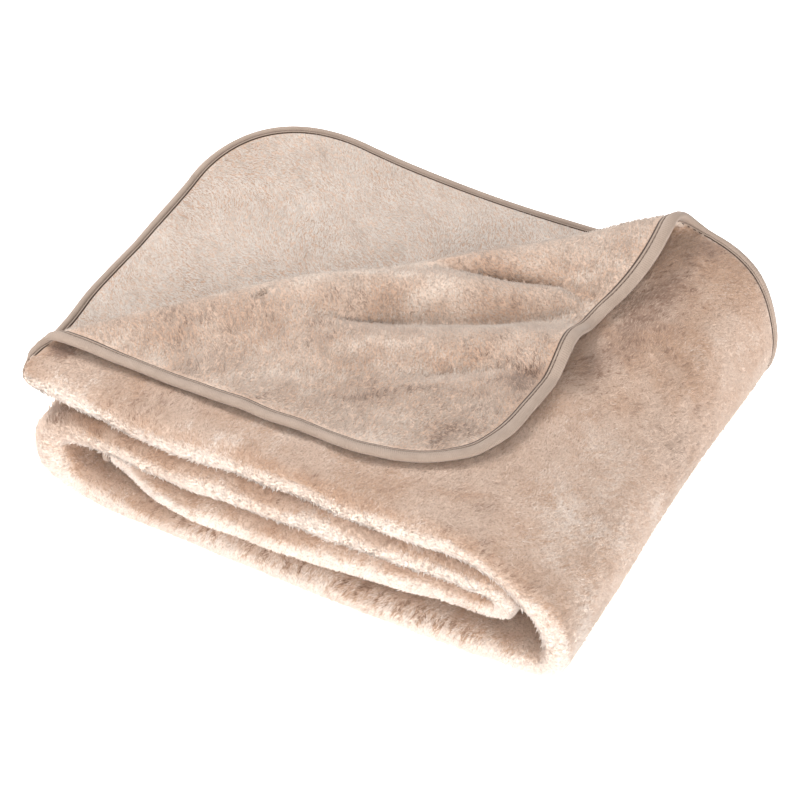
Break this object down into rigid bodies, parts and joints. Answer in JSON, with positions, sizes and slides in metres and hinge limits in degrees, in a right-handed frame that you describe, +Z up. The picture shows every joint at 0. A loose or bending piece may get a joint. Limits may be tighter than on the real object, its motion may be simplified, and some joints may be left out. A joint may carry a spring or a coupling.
{
  "type": "flannel throw blanket",
  "caption": "Plush throw blanket with a taped edge, folded and rolled flat, with its top corner turned back.",
  "frame": {"origin": "on the surface that the blanket lies on, under the middle of the folded bundle", "axes": "+X along the flat roll, from its loose end to the long slope; +Y from the folded fronts to the taped edges at the back; +Z up"},
  "size_m": [0.4129, 0.3363, 0.1367],
  "materials": {
    "fleece": "plush fleece pile on both faces, pinkish beige, soft sheen",
    "tape": "fine knitted edge tape, grey taupe, matt"
  },
  "bodies": {
    "root": {"blanket": "fleece", "binding": "tape"}
  },
  "joints": []
}
